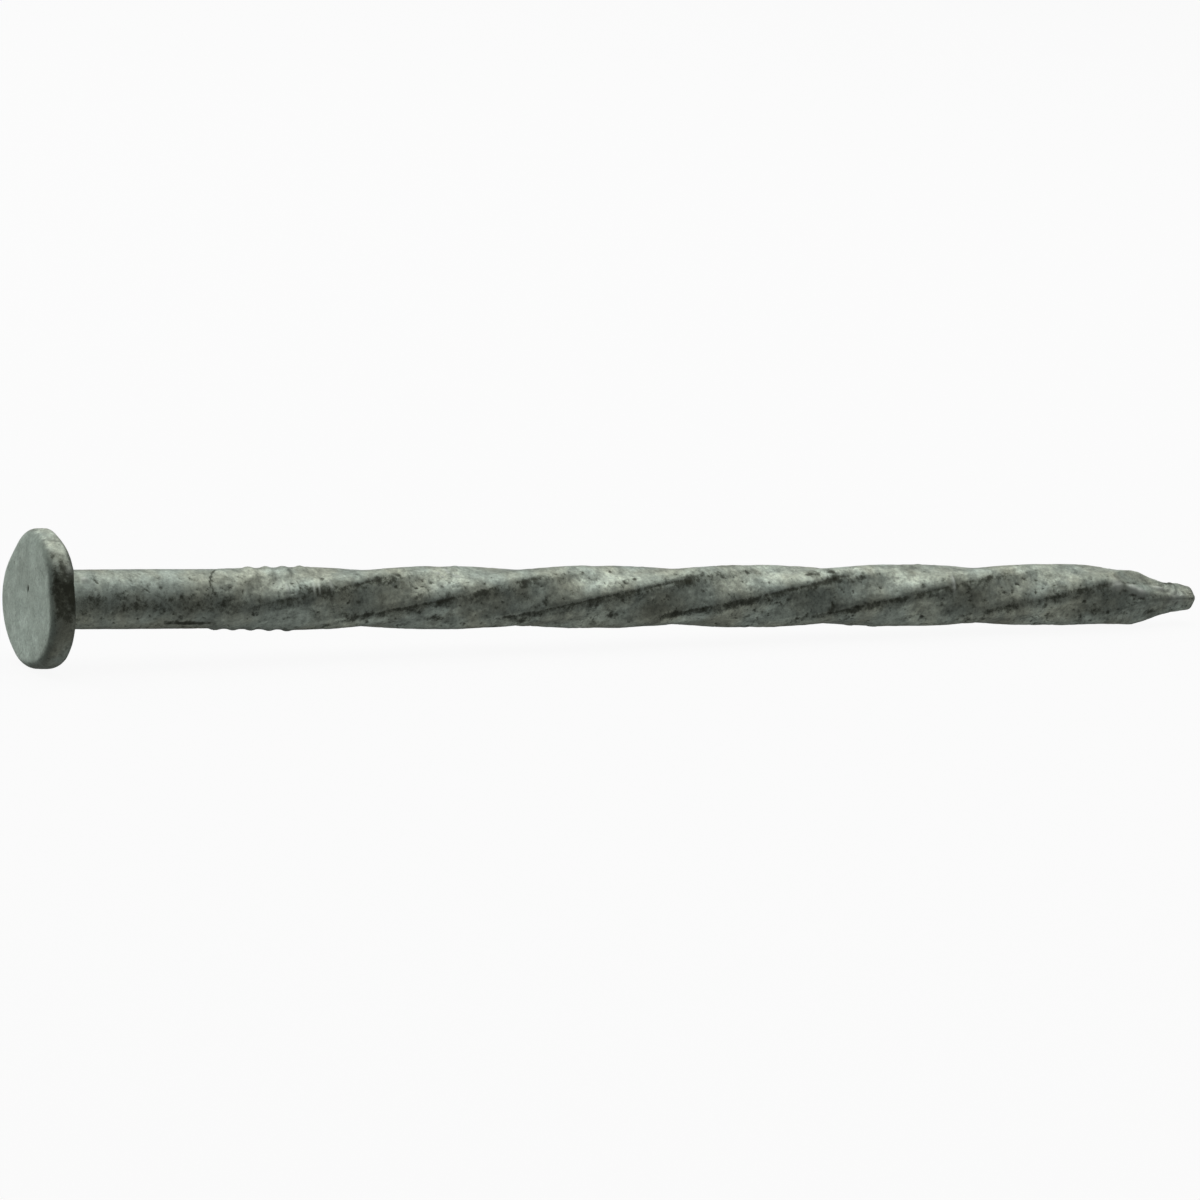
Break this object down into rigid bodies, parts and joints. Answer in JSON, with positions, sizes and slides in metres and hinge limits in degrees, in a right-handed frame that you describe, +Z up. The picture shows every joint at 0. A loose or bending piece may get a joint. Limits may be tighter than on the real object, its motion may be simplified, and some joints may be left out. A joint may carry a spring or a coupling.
{
  "type": "spiral shank nail",
  "caption": "Hot-dip galvanised nail with a flat round head, a plain neck, a left-hand twisted rounded-square shank and a blunt diamond point, for decking and framing timber.",
  "frame": {"origin": "on the shank's axis in the plane of the head's underside, where the timber's surface is once the nail is driven home", "axes": "+X along the shank from the head to the point; the nail lies on its side with +Z up, and the deepest dent of the head's rim is on the -Y side"},
  "size_m": [0.0648, 0.0072, 0.0069],
  "materials": {
    "steel": "satin",
    "galvanised_zinc": "matte"
  },
  "bodies": {
    "root": {"steel_core": "steel", "zinc_head_coat": "galvanised_zinc", "zinc_shank_coat": "galvanised_zinc"}
  },
  "joints": []
}
